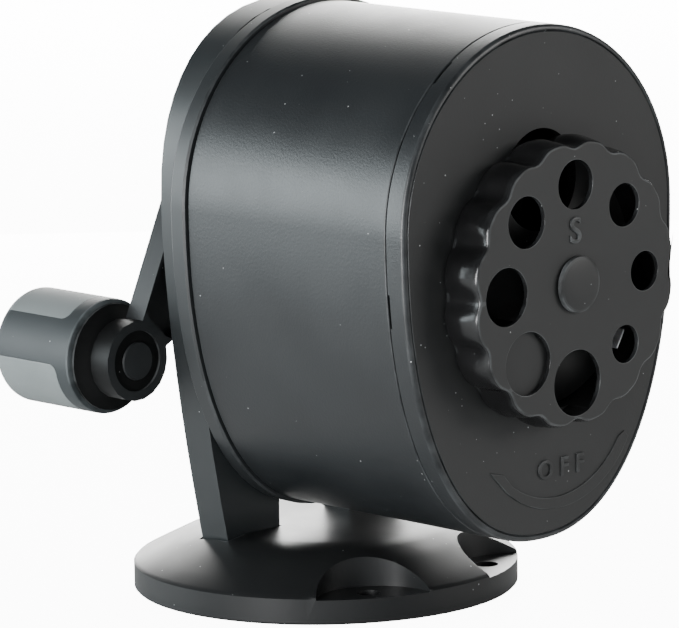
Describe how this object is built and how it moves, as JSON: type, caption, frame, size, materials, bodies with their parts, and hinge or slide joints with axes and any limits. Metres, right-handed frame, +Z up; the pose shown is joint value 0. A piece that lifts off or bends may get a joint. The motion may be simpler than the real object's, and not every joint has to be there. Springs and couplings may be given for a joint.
{
  "type": "manual pencil sharpener",
  "caption": "Hand-cranked pencil sharpener on a round screw-down foot, with an egg-shaped receptacle, a scalloped dial of pencil holes and a geared helical cutter head.",
  "frame": {"origin": "centre of the round foot's underside, on the surface it stands on", "axes": "+Z up; -Y is the way the dial faces, +Y points to the crank side; +X to the right seen from the front"},
  "size_m": [0.0778, 0.1017, 0.1049],
  "materials": {
    "black_plastic": "satin moulded",
    "slate_plastic": "satin moulded",
    "satin_plastic": "satin",
    "matte_black": "fine texture",
    "gloss_black": "semi gloss",
    "steel": "machined",
    "zinc": "as cast zinc",
    "brass": "machined",
    "knob_slate": "satin",
    "grip_grey": "soft matte"
  },
  "bodies": {
    "frame": {"base": "black_plastic", "stand": "slate_plastic", "collar": "black_plastic", "shaft_bushing": "brass", "ring_gear": "steel", "leg_screw_1": "steel", "leg_screw_2": "steel", "collar_screw_1": "steel", "collar_screw_2": "steel", "collar_screw_3": "steel"},
    "crank": {"cutter_carrier": "zinc", "cutter_pin_1": "steel", "cutter_pin_2": "steel", "crank_arm": "black_plastic", "crank_screw": "steel", "handle_spindle": "steel"},
    "cutter_upper": {"cutter_1": "steel"},
    "cutter_lower": {"cutter_2": "steel"},
    "handle": {"handle_knob": "knob_slate", "grip_1": "grip_grey", "grip_2": "grip_grey", "grip_3": "grip_grey"},
    "latch": {"lock_ring": "steel"},
    "receptacle": {"drum": "satin_plastic", "front_cap": "matte_black", "dial_pin": "gloss_black", "dial_clip": "steel", "detent_spring": "steel"},
    "selector": {"dial": "gloss_black"}
  },
  "joints": [
    {"name": "crank_turn", "type": "hinge", "parent": "frame", "child": "crank", "pos_m": [0, 0, 0.0778], "axis": [0, 1, 0], "continuous": true},
    {"name": "cutter_upper_spin", "type": "hinge", "parent": "crank", "child": "cutter_upper", "pos_m": [0, 0.03115, 0.0778], "axis": [0, 0.9848, -0.1736], "continuous": true},
    {"name": "cutter_lower_spin", "type": "hinge", "parent": "crank", "child": "cutter_lower", "pos_m": [0, 0.03115, 0.0778], "axis": [0, 0.9848, 0.1736], "continuous": true},
    {"name": "handle_spin", "type": "hinge", "parent": "crank", "child": "handle", "pos_m": [-0.03334, 0.03, 0.04327], "axis": [0, 1, 0], "continuous": true},
    {"name": "receptacle_twist", "type": "hinge", "parent": "frame", "child": "latch", "pos_m": [0, 0, 0.0778], "axis": [0, 1, 0], "range_deg": [0, 25]},
    {"name": "receptacle_pull", "type": "slide", "parent": "latch", "child": "receptacle", "axis": [0, -1, 0], "range_m": [0, 0.075]},
    {"name": "dial_turn", "type": "hinge", "parent": "receptacle", "child": "selector", "pos_m": [0, -0.058, 0.0608], "axis": [0, -1, 0], "continuous": true}
  ],
  "couplings": [
    {"joint": "cutter_upper_spin", "follows": "crank_turn", "ratio": -2.3333},
    {"joint": "cutter_lower_spin", "follows": "crank_turn", "ratio": -2.3333}
  ]
}
